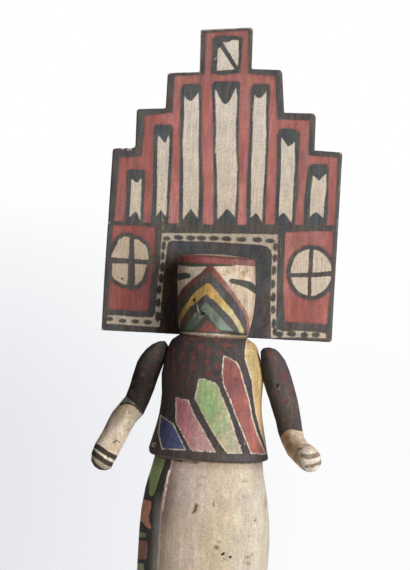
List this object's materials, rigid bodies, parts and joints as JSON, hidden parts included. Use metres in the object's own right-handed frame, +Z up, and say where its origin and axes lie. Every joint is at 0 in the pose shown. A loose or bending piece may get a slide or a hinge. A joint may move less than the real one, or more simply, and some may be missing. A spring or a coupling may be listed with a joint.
{
  "type": "carved doll",
  "caption": "Carved and painted wooden doll with a tall stepped board headdress, spotted sleeves, ray-painted shirt and long skirt, standing on a low oval base.",
  "frame": {"origin": "middle of the flat underside of the base", "axes": "+Z up through the head, -Y the way the doll looks, -X its own right side"},
  "size_m": [0.1197, 0.0599, 0.334],
  "materials": {
    "figure_paint": "matte cream mineral paint on carved cottonwood, worn",
    "board_paint": "matte red, black and cream mineral paint on a thin board, worn",
    "sleeve_paint": "matte black mineral paint with red spots on carved wood",
    "bare_wood": "bare, dry, slightly soiled cottonwood"
  },
  "bodies": {
    "root": {"figure": "figure_paint", "tablita": "board_paint", "arm_right": "sleeve_paint", "arm_left": "sleeve_paint", "base": "bare_wood"}
  },
  "joints": []
}
